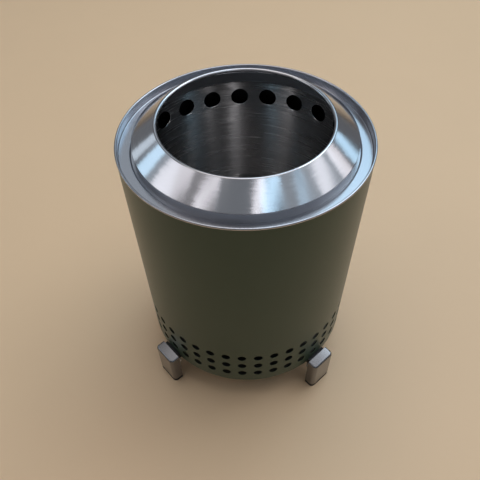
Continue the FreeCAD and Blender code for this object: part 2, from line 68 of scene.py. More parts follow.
rim_centre = Vector((0, 0, RIM_HEIGHT))
camera_data = bpy.data.cameras.new("camera")
camera_data.lens = FOCAL_LENGTH
camera_data.sensor_width = SENSOR_WIDTH
camera_data.clip_start = NEAREST_SEEN
camera = bpy.data.objects.new("camera", camera_data)
camera.matrix_world = (
    Matrix.Translation(rim_centre + heading(CAMERA_AZIMUTH, CAMERA_ELEVATION) * CAMERA_DISTANCE)
    @ Matrix.Rotation(CAMERA_AZIMUTH + pi / 2, 4, "Z")
    @ Matrix.Rotation(pi / 2 - CAMERA_ELEVATION, 4, "X")
    @ Matrix.Rotation(CAMERA_YAW, 4, "Y")
    @ Matrix.Rotation(-CAMERA_PITCH, 4, "X")
    @ Matrix.Rotation(-CAMERA_ROLL, 4, "Z"))
bpy.context.scene.collection.objects.link(camera)
bpy.context.scene.camera = camera
bpy.context.scene.view_settings.view_transform = "Standard"

ROOM_DISTANCE = 1.6
WINDOW_BLUE = (0.52, 0.80, 1.0)
COOL_WHITE = (0.76, 0.90, 1.0)
PLAIN_WHITE = (0.98, 0.97, 1.0)
WARM_WHITE = (1.0, 0.95, 0.90)


def soft_light(name, azimuth, elevation, width, height, brightness, colour, tilt=0):
    """A flat panel that faces the rim and looks width by height degrees large; brightness 1 looks white."""
    data = bpy.data.lights.new(name, "AREA")
    data.shape = "RECTANGLE"
    data.size = 2 * ROOM_DISTANCE * tan(radians(width / 2))
    data.size_y = 2 * ROOM_DISTANCE * tan(radians(height / 2))
    data.energy = brightness * pi * data.size * data.size_y
    data.color = colour
    light = bpy.data.objects.new(name, data)
    place = rim_centre + heading(radians(azimuth), radians(elevation)) * ROOM_DISTANCE
    aim = (place - rim_centre).to_track_quat("Z", "Y").to_matrix().to_4x4()
    light.matrix_world = Matrix.Translation(place) @ aim @ Matrix.Rotation(radians(tilt), 4, "Z")
    bpy.context.scene.collection.objects.link(light)
    return light


soft_light("front_shade", -95, 60, 34, 12, 0.14, COOL_WHITE)
soft_light("front_lamp", -68, 60, 4, 14, 1.75, PLAIN_WHITE, tilt=-61)
soft_light("front_window", -52, 58, 5, 17, 2.0, WINDOW_BLUE, tilt=-82)
soft_light("front_wall", -30, 51, 16, 12, 0.3, COOL_WHITE)
soft_light("right_strip_1", -19, 48, 5, 14, 0.65, WINDOW_BLUE, tilt=-81)
soft_light("right_wall", 4, 38, 36, 22, 0.4, COOL_WHITE)
soft_light("right_strip_2", 4, 37, 6.5, 18, 0.95, PLAIN_WHITE, tilt=-99)
soft_light("right_strip_3", 22, 25, 9.5, 14, 1.15, PLAIN_WHITE, tilt=-75)
soft_light("right_strip_4", 35, 15, 6, 14, 1.6, WINDOW_BLUE, tilt=-96)
soft_light("right_far_wall", 50, 4, 18, 14, 0.05, COOL_WHITE)
soft_light("left_lamp", -137, 54, 5.5, 16, 1.3, PLAIN_WHITE, tilt=-37)
soft_light("left_shade", -150, 50, 12, 14, 0.2, PLAIN_WHITE)
soft_light("left_wall", 175, 30, 46, 22, 0.35, COOL_WHITE)
soft_light("left_window", -174, 40, 14, 26, 0.95, PLAIN_WHITE, tilt=-26)
soft_light("left_strip_1", 162, 23, 12, 13, 1.1, WINDOW_BLUE, tilt=30)
soft_light("left_strip_2", 149, 13, 9, 10, 0.95, COOL_WHITE, tilt=42)
soft_light("left_far_wall", 136, 4, 18, 14, 0.08, COOL_WHITE)
soft_light("rear_window", 66, 39, 26, 22, 1.5, WINDOW_BLUE)
soft_light("rear_wall", 101, 42, 36, 22, 0.42, COOL_WHITE)
soft_light("rear_lamp", 40, 50, 30, 22, 2.6, COOL_WHITE)
soft_light("rear_ceiling", 76, 62, 16, 14, 1.8, WINDOW_BLUE)
soft_light("right_ceiling", 50, 74, 60, 40, 0.75, PLAIN_WHITE)
soft_light("left_ceiling", 150, 74, 56, 36, 0.45, WARM_WHITE)

# Nothing mirrors this one, so it lights the table and the coat without a glint in the steel.
floor_light = soft_light("floor_light", 60, 76, 60, 40, 1.1, PLAIN_WHITE)
floor_light.visible_glossy = False

# These narrow lamps draw the upright streaks in the firebox wall, and light nothing else.
chamber_lamps = [
    soft_light("chamber_lamp_1", -75, 46, 3, 56, 32.0, PLAIN_WHITE),
    soft_light("chamber_lamp_2", -134, 44, 4, 50, 18.0, PLAIN_WHITE),
    soft_light("chamber_lamp_3", -117, 34, 7, 24, 8.0, WINDOW_BLUE),
    soft_light("chamber_lamp_4", -49, 33, 3, 26, 18.0, PLAIN_WHITE),
    soft_light("chamber_lamp_5", -28, 36, 4, 34, 14.0, WINDOW_BLUE),
]
chamber_pieces = bpy.data.collections.new("chamber_pieces")
for lamp in chamber_lamps:
    lamp.light_linking.receiver_collection = chamber_pieces

ROOM_GREY = (0.11, 0.11, 0.115, 1)
world = bpy.data.worlds.new("room")
world.use_nodes = True
world.node_tree.nodes["Background"].inputs["Color"].default_value = ROOM_GREY
bpy.context.scene.world = world

TABLE_HALF = 3.0
BOARD_DARK = (0.745, 0.535, 0.335)
BOARD_LIGHT = (0.785, 0.56, 0.35)
BOARD_GRAIN = 0.00004


def new_material(name, base_colour, roughness, metallic=0.0):
    """A material with its shader, ready for a pattern."""
    material = bpy.data.materials.new(name)
    material.use_nodes = True
    shader = material.node_tree.nodes["Principled BSDF"]
    shader.inputs["Base Color"].default_value = (*base_colour, 1)
    shader.inputs["Roughness"].default_value = roughness
    shader.inputs["Metallic"].default_value = metallic
    return material, material.node_tree, shader


def add_node(tree, kind, **settings):
    """A node with its settings."""
    node = tree.nodes.new(kind)
    for name, value in settings.items():
        setattr(node, name, value)
    return node


def spread(tree, source, low, high):
    """Turns a pattern from 0 to 1 into values from low to high."""
    ranged = tree.nodes.new("ShaderNodeMapRange")
    ranged.inputs["To Min"].default_value = low
    ranged.inputs["To Max"].default_value = high
    tree.links.new(source, ranged.inputs["Value"])
    return ranged.outputs["Result"]


def tinted(tree, source, shader, dark, light):
    """Colours a surface between two shades by a pattern."""
    mixed = add_node(tree, "ShaderNodeMix", data_type="RGBA")
    mixed.inputs[6].default_value = (*dark, 1)
    mixed.inputs[7].default_value = (*light, 1)
    tree.links.new(source, mixed.inputs["Factor"])
    tree.links.new(mixed.outputs[2], shader.inputs["Base Color"])


def relief(tree, source, shader, height):
    """Raises a surface by a pattern, with its height in metres."""
    bump = tree.nodes.new("ShaderNodeBump")
    bump.inputs["Strength"].default_value = 1.0
    bump.inputs["Distance"].default_value = height
    tree.links.new(source, bump.inputs["Height"])
    tree.links.new(bump.outputs["Normal"], shader.inputs["Normal"])


def noise(tree, where, scale, detail=3.0):
    """A seamless random pattern over the given coordinates."""
    pattern = tree.nodes.new("ShaderNodeTexNoise")
    pattern.inputs["Scale"].default_value = scale
    pattern.inputs["Detail"].default_value = detail
    pattern.inputs["Roughness"].default_value = 0.55
    tree.links.new(where, pattern.inputs["Vector"])
    return pattern.outputs["Fac"]


def object_place(tree):
    return tree.nodes.new("ShaderNodeTexCoord").outputs["Object"]


def table_board():
    material, tree, shader = new_material("pale_board", BOARD_DARK, 0.55)
    place = object_place(tree)
    tinted(tree, noise(tree, place, 9.0), shader, BOARD_DARK, BOARD_LIGHT)
    relief(tree, noise(tree, place, 900.0), shader, BOARD_GRAIN)
    return material


table_mesh = bpy.data.meshes.new("table")
corners = [(-1, -1), (1, -1), (1, 1), (-1, 1)]
table_mesh.from_pydata([(x * TABLE_HALF, y * TABLE_HALF, 0) for x, y in corners], [], [(0, 1, 2, 3)])
table_mesh.materials.append(table_board())
table = bpy.data.objects.new("table", table_mesh)
bpy.context.scene.collection.objects.link(table)

# Stand.
# A flat steel ring under the drum, cut and bent from 1.5 mm sheet, with four arms.
# Each arm ends in a tab that hangs behind its foot.

SHEET_RELIEF = 0.000004
LATHE_RELIEF = 0.0000015
# A line's place is its height plus this share of its radius, so lines run over level faces too.
RADIUS_SHARE = -0.7


def around_axis(tree):
    """Coordinates that run along the profile of a turned piece: its radius, its height and its direction."""
    place = object_place(tree)
    split = tree.nodes.new("ShaderNodeSeparateXYZ")
    tree.links.new(place, split.inputs[0])
    flat = tree.nodes.new("ShaderNodeCombineXYZ")
    tree.links.new(split.outputs["X"], flat.inputs["X"])
    tree.links.new(split.outputs["Y"], flat.inputs["Y"])
    radius = add_node(tree, "ShaderNodeVectorMath", operation="LENGTH")
    tree.links.new(flat.outputs[0], radius.inputs[0])
    direction = add_node(tree, "ShaderNodeVectorMath", operation="NORMALIZE")
    tree.links.new(flat.outputs[0], direction.inputs[0])
    return split, radius.outputs["Value"], direction.outputs["Vector"]


def lathe_lines(tree, fineness, length):
    """Fine lines that run round the axis, as spinning and round brushing leave them."""
    split, radius, direction = around_axis(tree)
    drift = add_node(tree, "ShaderNodeVectorMath", operation="SCALE")
    drift.inputs["Scale"].default_value = length
    tree.links.new(direction, drift.inputs[0])
    profile = add_node(tree, "ShaderNodeMath", operation="MULTIPLY_ADD")
    profile.inputs[1].default_value = RADIUS_SHARE
    tree.links.new(radius, profile.inputs[0])
    tree.links.new(split.outputs["Z"], profile.inputs[2])
    across = add_node(tree, "ShaderNodeMath", operation="MULTIPLY")
    across.inputs[1].default_value = fineness
    tree.links.new(profile.outputs[0], across.inputs[0])
    pattern = add_node(tree, "ShaderNodeTexNoise", noise_dimensions="4D")
    pattern.inputs["Scale"].default_value = 1.0
    pattern.inputs["Detail"].default_value = 4.0
    pattern.inputs["Roughness"].default_value = 0.6
    tree.links.new(drift.outputs["Vector"], pattern.inputs["Vector"])
    tree.links.new(across.outputs[0], pattern.inputs["W"])
    return pattern.outputs["Fac"]


def round_tangent(tree):
    """The direction round the axis."""
    split = tree.nodes.new("ShaderNodeSeparateXYZ")
    tree.links.new(object_place(tree), split.inputs[0])
    turned = add_node(tree, "ShaderNodeMath", operation="MULTIPLY")
    turned.inputs[1].default_value = -1.0
    tree.links.new(split.outputs["Y"], turned.inputs[0])
    tangent = tree.nodes.new("ShaderNodeCombineXYZ")
    tree.links.new(turned.outputs[0], tangent.inputs["X"])
    tree.links.new(split.outputs["X"], tangent.inputs["Y"])
    unit = add_node(tree, "ShaderNodeVectorMath", operation="NORMALIZE")
    tree.links.new(tangent.outputs[0], unit.inputs[0])
    return unit.outputs["Vector"]


def grain_round_axis(tree, shader, lines, stretch, waver):
    """Stretches highlights across the round lines, and lets each line turn them a little aside."""
    tangent = round_tangent(tree)
    tree.links.new(tangent, shader.inputs["Tangent"])
    shader.inputs["Anisotropic"].default_value = stretch
    shader.inputs["Anisotropic Rotation"].default_value = 0.25
    aside = add_node(tree, "ShaderNodeVectorMath", operation="SCALE")
    tree.links.new(tangent, aside.inputs[0])
    tree.links.new(spread(tree, lines, -waver, waver), aside.inputs["Scale"])
    normal = add_node(tree, "ShaderNodeVectorMath", operation="ADD")
    tree.links.new(shader.inputs["Normal"].links[0].from_socket, normal.inputs[0])
    tree.links.new(aside.outputs["Vector"], normal.inputs[1])
    unit = add_node(tree, "ShaderNodeVectorMath", operation="NORMALIZE")
    tree.links.new(normal.outputs["Vector"], unit.inputs[0])
    tree.links.new(unit.outputs["Vector"], shader.inputs["Normal"])


def turned_steel(name, colour, roughness, stretch, fineness=2400.0, length=6.0, depth=LATHE_RELIEF,
                 waver=0.02, shade=0.93, contrast=1.0):
    """Stainless steel with the round lines of spinning or brushing; a contrast above 1 deepens them."""
    material, tree, shader = new_material(name, colour, roughness[0], metallic=1.0)
    lines = spread(tree, lathe_lines(tree, fineness, length), 0.5 - contrast / 2, 0.5 + contrast / 2)
    tinted(tree, lines, shader, [part * shade for part in colour], colour)
    tree.links.new(spread(tree, lines, *roughness), shader.inputs["Roughness"])
    relief(tree, lines, shader, depth)
    grain_round_axis(tree, shader, lines, stretch, waver)
    return material


def dress(node, material):
    """Gives a CAD node its finish."""
    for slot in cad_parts[node].material_slots:
        slot.material = material


def sheet_steel(name, colour, roughness, grain=2500.0):
    """Plain cold-rolled stainless sheet."""
    material, tree, shader = new_material(name, colour, roughness[0], metallic=1.0)
    fine = noise(tree, object_place(tree), grain)
    tinted(tree, fine, shader, [part * 0.88 for part in colour], colour)
    tree.links.new(spread(tree, fine, *roughness), shader.inputs["Roughness"])
    relief(tree, fine, shader, SHEET_RELIEF)
    return material


stand_steel = sheet_steel("stand_steel", (0.50, 0.49, 0.47), (0.30, 0.42))
dress("stand_ring", stand_steel)

# Feet.
# Four blocks of cast stainless steel, blasted to a satin finish, with rounded outer corners.
# Each has a rubber sole and a silicone bumper for the drum, and two socket screws hold it to its tab.

CORNERS = ("rear_right", "rear_left", "front_left", "front_right")

SOLE_GRAIN = 0.00001
BUMPER_GRAIN = 0.000008
# The tops are level in shape, but shade as if they fell outwards by this slope.
TOP_CROWN = 0.14
# A face is taken as level where the upright part of its normal is more than this.
LEVEL_SHARE = 0.9


def crowned_steel(name, colour, roughness):
    """Satin cast steel whose level faces shade as if they fell a little outwards."""
    material = sheet_steel(name, colour, roughness, grain=3500.0)
    tree = material.node_tree
    shader = tree.nodes["Principled BSDF"]
    facing = tree.nodes.new("ShaderNodeSeparateXYZ")
    tree.links.new(tree.nodes.new("ShaderNodeNewGeometry").outputs["Normal"], facing.inputs[0])
    level = add_node(tree, "ShaderNodeMath", operation="GREATER_THAN")
    level.inputs[1].default_value = LEVEL_SHARE
    tree.links.new(facing.outputs["Z"], level.inputs[0])
    outwards = add_node(tree, "ShaderNodeVectorMath", operation="SCALE")
    tree.links.new(around_axis(tree)[2], outwards.inputs[0])
    tree.links.new(spread(tree, level.outputs[0], 0.0, TOP_CROWN), outwards.inputs["Scale"])
    tilted = add_node(tree, "ShaderNodeVectorMath", operation="ADD")
    tree.links.new(shader.inputs["Normal"].links[0].from_socket, tilted.inputs[0])
    tree.links.new(outwards.outputs["Vector"], tilted.inputs[1])
    tree.links.new(tilted.outputs["Vector"], shader.inputs["Normal"])
    return material


foot_steel = crowned_steel("foot_steel", (0.235, 0.235, 0.245), (0.14, 0.20))
# Painted shadow in part: the near-black rubber soles also stand in for the contact shadow under each foot.
sole_rubber, sole_tree, sole_shader = new_material("sole_rubber", (0.012, 0.011, 0.010), 0.75)
relief(sole_tree, noise(sole_tree, object_place(sole_tree), 4000.0), sole_shader, SOLE_GRAIN)
# Painted shade in part: the near-black silicone bumpers also stand in for the shade in the gap between each
# foot and the drum.
bumper_silicone, bumper_tree, bumper_shader = new_material("bumper_silicone", (0.010, 0.010, 0.011), 0.6)
relief(bumper_tree, noise(bumper_tree, object_place(bumper_tree), 3000.0), bumper_shader, BUMPER_GRAIN)
for corner in CORNERS:
    dress(f"{corner}_foot", foot_steel)
    dress(f"{corner}_sole", sole_rubber)
    dress(f"{corner}_bumper", bumper_silicone)
dress("foot_screws", stand_steel)

# Base plate and ash tray.
# The base closes the bottom of the drum; the tray above it catches ash and keeps heat off the base.
# Four rivets through spacers hold the tray.

base_steel = turned_steel("base_steel", (0.24, 0.235, 0.23), (0.30, 0.42), 0.5)
rivet_steel = sheet_steel("rivet_steel", (0.55, 0.54, 0.53), (0.28, 0.40))
for node in ("base_plate", "ash_tray"):
    dress(node, base_steel)
for node in ("tray_spacers", "tray_rivets"):
    dress(node, rivet_steel)

# Outer wall.
# A rolled and welded tube of 0.5 mm steel with 42 columns of three vents near its bottom edge.
# Its matt olive powder coat rounds every edge of the sheet.

WALL_SHEET = 0.0005
VENT_COLUMNS = 42
VENT_ROWS = 3
VENT_RADIUS = 0.00255
VENT_PITCH = 0.0093
VENT_MARGIN = 0.0094
EDGE_ROUND = 0.0002
CELL_SIDE = 8
JOIN_DISTANCE = 0.00001
CELL_JOIN = 0.000005
ORANGE_PEEL = 0.000012
COAT_OLIVE = (0.057, 0.087, 0.058)
COAT_DARK = (0.054, 0.083, 0.055)
COAT_LIGHT = (0.060, 0.091, 0.061)
# Painted shade: the inside of the sheet and the inner half of each vent's edge are near black, for the shade
# in the gap between the walls.
INSIDE_PAINTED_SHADE = (0.004, 0.004, 0.004, 1)

wall_low, wall_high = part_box("outer_wall")
wall_radius = wall_high.x


def copies_round():
    """A tree that repeats one piece round the Z axis and joins the copies into a single skin."""
    tree = bpy.data.node_groups.new("copies_round", "GeometryNodeTree")
    sockets = {}
    for name, kind in (("Piece", "Geometry"), ("Count", "Int"), ("First Turn", "Float"),
                       ("Join Distance", "Float"), ("Finish", "Material")):
        sockets[name] = tree.interface.new_socket(name, in_out="INPUT", socket_type=f"NodeSocket{kind}")
    tree.interface.new_socket("Copies", in_out="OUTPUT", socket_type="NodeSocketGeometry")
    given = tree.nodes.new("NodeGroupInput")
    result = tree.nodes.new("NodeGroupOutput")
    points = tree.nodes.new("GeometryNodePoints")
    index = tree.nodes.new("GeometryNodeInputIndex")
    step = add_node(tree, "ShaderNodeMath", operation="DIVIDE")
    step.inputs[0].default_value = tau
    turn = add_node(tree, "ShaderNodeMath", operation="MULTIPLY_ADD")
    euler = tree.nodes.new("ShaderNodeCombineXYZ")
    rotation = tree.nodes.new("FunctionNodeEulerToRotation")
    copies = tree.nodes.new("GeometryNodeInstanceOnPoints")
    real = tree.nodes.new("GeometryNodeRealizeInstances")
    joined = tree.nodes.new("GeometryNodeMergeByDistance")
    finish = tree.nodes.new("GeometryNodeSetMaterial")
    link = tree.links.new
    link(given.outputs["Count"], points.inputs["Count"])
    link(given.outputs["Count"], step.inputs[1])
    link(index.outputs[0], turn.inputs[0])
    link(step.outputs[0], turn.inputs[1])
    link(given.outputs["First Turn"], turn.inputs[2])
    link(turn.outputs[0], euler.inputs["Z"])
    link(euler.outputs[0], rotation.inputs[0])
    link(points.outputs[0], copies.inputs["Points"])
    link(given.outputs["Piece"], copies.inputs["Instance"])
    link(rotation.outputs[0], copies.inputs["Rotation"])
    link(copies.outputs[0], real.inputs[0])
    link(real.outputs[0], joined.inputs["Geometry"])
    link(given.outputs["Join Distance"], joined.inputs["Distance"])
    link(joined.outputs[0], finish.inputs["Geometry"])
    link(given.outputs["Finish"], finish.inputs["Material"])
    link(finish.outputs[0], result.inputs[0])
    return tree, {name: socket.identifier for name, socket in sockets.items()}


copies_tree, copies_inputs = copies_round()


def baked(piece):
    """Works a piece's modifiers into its mesh."""
    bpy.context.view_layer.update()
    seen = piece.evaluated_get(bpy.context.evaluated_depsgraph_get())
    mesh = bpy.data.meshes.new_from_object(seen)
    mesh.name = piece.name
    piece.modifiers.clear()
    piece.data = mesh
    return piece


def new_piece(name, mesh):
    """An object made of a bmesh, with smooth faces."""
    data = bpy.data.meshes.new(name)
    mesh.to_mesh(data)
    mesh.free()
    for face in data.polygons:
        face.use_smooth = True
    piece = bpy.data.objects.new(name, data)
    bpy.context.scene.collection.objects.link(piece)
    return piece


def even_shading(piece):
    """Keeps broad faces flat to the eye and lets only the roundings turn."""
    weighted = piece.modifiers.new("even_shading", "WEIGHTED_NORMAL")
    weighted.weight = 90
    weighted.keep_sharp = False


def repeated_round(piece, count, first_turn, material):
    """Repeats a piece round the axis as one plain mesh."""
    maker = piece.modifiers.new("copies", "NODES")
    maker.node_group = copies_tree
    maker[copies_inputs["Count"]] = count
    maker[copies_inputs["First Turn"]] = first_turn
    maker[copies_inputs["Join Distance"]] = JOIN_DISTANCE
    maker[copies_inputs["Finish"]] = material
    even_shading(piece)
    return baked(piece)


def settle(piece, body, slot, *nodes):
    """Puts a finished piece on its body in place of its CAD nodes."""
    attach(piece, body)
    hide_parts(*nodes)


def rounded_outline(corners, steps=6):
    """A closed outline from its sharp corners (across, up, bend), each bend drawn as an arc."""
    points = []
    for before, corner, after in zip(corners[-1:] + corners[:-1], corners, corners[1:] + corners[:1]):
        tip = Vector(corner[:2])
        bend = corner[2]
        if not bend:
            points.append(tuple(tip))
            continue
        back = (Vector(before[:2]) - tip).normalized()
        ahead = (Vector(after[:2]) - tip).normalized()
        half = back.angle(ahead) / 2
        centre = tip + (back + ahead).normalized() * bend / sin(half)
        start = tip + back * bend / tan(half) - centre
        end = tip + ahead * bend / tan(half) - centre
        first = atan2(start.y, start.x)
        sweep = (atan2(end.y, end.x) - first + pi) % tau - pi
        for step in range(steps + 1):
            angle = first + sweep * step / steps
            points.append((centre.x + bend * cos(angle), centre.y + bend * sin(angle)))
    return points


def on_cylinder(radius, arc_angle, height):
    return (radius * sin(arc_angle), -radius * cos(arc_angle), height)


def square_ring(side):
    """Points from -1 to 1 round a square, counter-clockwise from its lower left corner."""
    steps = [-1 + 2 * step / side for step in range(side)]
    return ([(step, -1) for step in steps] + [(1, step) for step in steps]
            + [(-step, 1) for step in steps] + [(-1, -step) for step in steps])


def square_of_points(mesh, places, surface, half_angle, middle, half_height):
    """Points on a cylinder round one cell of a punched tube."""
    points = [on_cylinder(surface, u * half_angle, middle + v * half_height) for u, v in places]
    return [mesh.verts.new(point) for point in points]


def circle_of_points(mesh, total, ring_radius, surface, radius, middle):
    """Points on a cylinder round one hole, in step with those of its cell."""
    points = []
    for index in range(total):
        angle = radians(225) + tau * index / total
        across = ring_radius * cos(angle) / radius
        up = middle + ring_radius * sin(angle)
        points.append(mesh.verts.new(on_cylinder(surface, across, up)))
    return points


def join_rings(mesh, ring, following):
    for index in range(len(ring)):
        after = (index + 1) % len(ring)
        mesh.faces.new((ring[index], ring[after], following[after], following[index]))


def closing_strip(mesh, path, half_angle, side):
    """The plain sheet above or below the holes, along a path of (radius, height) points."""
    rows = [[mesh.verts.new(on_cylinder(across, (-1 + 2 * step / side) * half_angle, up))
             for step in range(side + 1)] for across, up in path]
    for row, following in zip(rows, rows[1:]):
        for index in range(side):
            mesh.faces.new((row[index], following[index], following[index + 1], row[index + 1]))


def punched_column(name, radius, sheet, count, holes, hole_radius, cell_height, foot, head, side=CELL_SIDE):
    """One upright strip of a punched tube, centred on -Y.

    foot and head are the sections that close the strip, as points (radius, height): the foot's
    run from the outside down and up the inside, the head's from the inside up and down the outside.
    """
    mesh = bmesh.new()
    half_angle = pi / count
    inner = radius - sheet
    ring_places = square_ring(side)
    lip = min(EDGE_ROUND, sheet * 0.4)
    lip_steps = [radians(90) * step / 3 for step in range(4)]
    circle_rings = [(hole_radius + lip * (1 - sin(t)), radius - lip * (1 - cos(t))) for t in lip_steps]
    circle_rings += [(hole_radius + lip * (1 - cos(t)), inner + lip * (1 - sin(t))) for t in lip_steps]
    for middle in holes:
        rings = [square_of_points(mesh, ring_places, radius, half_angle, middle, cell_height / 2)]
        for ring_radius, surface in circle_rings:
            rings.append(circle_of_points(mesh, len(ring_places), ring_radius, surface, radius, middle))
        rings.append(square_of_points(mesh, ring_places, inner, half_angle, middle, cell_height / 2))
        for ring, following in zip(rings, rings[1:]):
            join_rings(mesh, ring, following)
    for path in (foot, head):
        closing_strip(mesh, path, half_angle, side)
    bmesh.ops.remove_doubles(mesh, verts=mesh.verts, dist=CELL_JOIN)
    return new_piece(name, mesh)


def powder_coat():
    """Matt olive powder coat: a slight orange peel over a fine speckle, and the bare sheet inside painted
    near black as shade for the gap between the walls.
    """
    material, tree, shader = new_material("olive_coat", COAT_OLIVE, 0.32)
    place = object_place(tree)
    tinted(tree, noise(tree, place, 45.0), shader, COAT_DARK, COAT_LIGHT)
    radius = around_axis(tree)[1]
    # Painted shade: faces nearer the axis than the middle of the sheet take the near-black colour.
    inside = add_node(tree, "ShaderNodeMath", operation="LESS_THAN")
    inside.inputs[1].default_value = wall_radius - WALL_SHEET / 2
    tree.links.new(radius, inside.inputs[0])
    sides = add_node(tree, "ShaderNodeMix", data_type="RGBA")
    sides.inputs[7].default_value = INSIDE_PAINTED_SHADE
    tree.links.new(inside.outputs[0], sides.inputs["Factor"])
    tree.links.new(shader.inputs["Base Color"].links[0].from_socket, sides.inputs[6])
    tree.links.new(sides.outputs[2], shader.inputs["Base Color"])
    tree.links.new(spread(tree, noise(tree, place, 1400.0), 0.28, 0.36), shader.inputs["Roughness"])
    relief(tree, noise(tree, place, 1700.0, detail=2.0), shader, ORANGE_PEEL)
    shader.inputs["IOR"].default_value = 1.45
    shader.inputs["Specular IOR Level"].default_value = 0.35
    return material


olive_coat = powder_coat()
vent_heights = [wall_low.z + VENT_MARGIN + row * VENT_PITCH for row in range(VENT_ROWS)]
vents_bottom = vent_heights[0] - VENT_PITCH / 2
vents_top = vent_heights[-1] + VENT_PITCH / 2


def sheet_end(outer, sheet, stop, start):
    """The rounded end of an upright sheet, from its outside at start to its inside."""
    inner = outer - sheet
    into = 1 if start > stop else -1
    lip = EDGE_ROUND
    outside = [(outer - lip * (1 - cos(radians(t))), stop + into * lip * (1 - sin(radians(t))))
               for t in (0, 30, 60, 90)]
    inside = [(inner + lip * (1 - cos(radians(t))), stop + into * lip * (1 - sin(radians(t))))
              for t in (90, 60, 30, 0)]
    return [(outer, start)] + outside + inside + [(inner, start)]


wall_foot = sheet_end(wall_radius, WALL_SHEET, wall_low.z, vents_bottom)
wall_head = sheet_end(wall_radius, WALL_SHEET, wall_high.z, vents_top)[::-1]
outer_wall = punched_column("outer_wall_coated", wall_radius, WALL_SHEET, VENT_COLUMNS, vent_heights,
                            VENT_RADIUS, VENT_PITCH, wall_foot, wall_head)
repeated_round(outer_wall, VENT_COLUMNS, 0.0, olive_coat)
settle(outer_wall, "drum", "drum_coat", "outer_wall")

# Centring clips.
# Z-shaped strips of thin sheet, spot-welded between the two walls.

for side in ("right", "rear", "left", "front"):
    dress(f"{side}_centring_clip", rivet_steel)

# Firebox wall.
# The inner wall, a tube of thin stainless steel with a row of 22 round air jets below its rim.
# Its bottom edge is turned in to carry the grate.

FIREBOX_SHEET = 0.0005
JET_COUNT = 22
JET_RADIUS = 0.0051
JET_DROP = 0.0178
JET_CELL = 0.015
FIRST_JET = radians(5.9)
LEDGE_WIDTH = 0.0035
LEDGE_BEND = 0.0008
FIREBOX_RELIEF = 0.00001

firebox_steel = turned_steel(
    "firebox_steel", (0.51, 0.50, 0.50), (0.26, 0.28), 1.0,
    fineness=1300.0, length=1.8, depth=FIREBOX_RELIEF, waver=0.035, shade=0.45, contrast=1.7)
firebox_low, firebox_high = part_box("firebox_wall")
firebox_outer = firebox_high.x
firebox_inner = firebox_outer - FIREBOX_SHEET
jet_height = RIM_HEIGHT - JET_DROP
jets_bottom = jet_height - JET_CELL / 2
jets_top = jet_height + JET_CELL / 2


def arc(centre, radius, first, last, steps=6):
    """Points on an arc between two angles in degrees."""
    angles = [radians(first + (last - first) * step / steps) for step in range(steps + 1)]
    return [(centre[0] + radius * cos(angle), centre[1] + radius * sin(angle)) for angle in angles]


ledge_inner = firebox_inner - LEDGE_WIDTH
bend_centre = (firebox_inner - LEDGE_BEND, firebox_low.z + FIREBOX_SHEET + LEDGE_BEND)
half_sheet = FIREBOX_SHEET / 2
firebox_foot = [(firebox_outer, jets_bottom)]
firebox_foot += arc(bend_centre, LEDGE_BEND + FIREBOX_SHEET, 0, -90)
firebox_foot += arc((ledge_inner + half_sheet, firebox_low.z + half_sheet), half_sheet, -90, -270)
firebox_foot += arc(bend_centre, LEDGE_BEND, -90, 0)
firebox_foot += [(firebox_inner, jets_bottom)]
firebox_head = sheet_end(firebox_outer, FIREBOX_SHEET, firebox_high.z, jets_top)[::-1]
firebox_wall = punched_column("firebox_wall_turned", firebox_outer, FIREBOX_SHEET, JET_COUNT, [jet_height],
                              JET_RADIUS, JET_CELL, firebox_foot, firebox_head, side=12)
repeated_round(firebox_wall, JET_COUNT, FIRST_JET, firebox_steel)
settle(firebox_wall, "drum", "firebox_steel", "firebox_wall")
chamber_pieces.objects.link(firebox_wall)

# Fuel grate.
# A plain punched disc that lies on the firebox's turned-in edge.

dress("fuel_grate", turned_steel("grate_steel", (0.30, 0.29, 0.28), (0.34, 0.46), 0.5, shade=0.8))

# Rim collar.
# One pressed ring of bright stainless steel: a rounded lip, a level shelf and a sunk seat.
# It closes the gap between the walls at the top, and the flame ring stands in its seat.

COLLAR_SHEET = 0.0005
LIP_HEIGHT = 0.0008
LIP_ROUND = 0.0006
SHELF_DEPTH = 0.0047
SHELF_WIDTH = 0.0061
SHELF_CORNER = 0.00045
SHELF_EDGE = 0.00095
SEAT_DEPTH = 0.001
COLLAR_BEND = 0.0009
COLLAR_EDGE = 0.0001
# From the outside of the skirt to the inner edge of the seat under it.
SEAT_REACH = 0.0006
TURNED_SEGMENTS = 256
TURNED_JOIN = 0.0000005


def spun(name, outline):
    """A piece turned about the Z axis from a closed outline of (radius, height) points."""
    mesh = bmesh.new()
    sections = []
    for segment in range(TURNED_SEGMENTS):
        angle = tau * segment / TURNED_SEGMENTS
        points = [(across * cos(angle), across * sin(angle), up) for across, up in outline]
        sections.append([mesh.verts.new(point) for point in points])
    for section, following in zip(sections, sections[1:] + sections[:1]):
        for index in range(len(outline)):
            after = (index + 1) % len(outline)
            mesh.faces.new((section[index], following[index], following[after], section[after]))
    bmesh.ops.remove_doubles(mesh, verts=mesh.verts, dist=TURNED_JOIN)
    if mesh.calc_volume(signed=True) < 0:
        bmesh.ops.reverse_faces(mesh, faces=mesh.faces)
    return new_piece(name, mesh)


def finished(piece, material):
    piece.data.materials.append(material)
    even_shading(piece)
    return baked(piece)


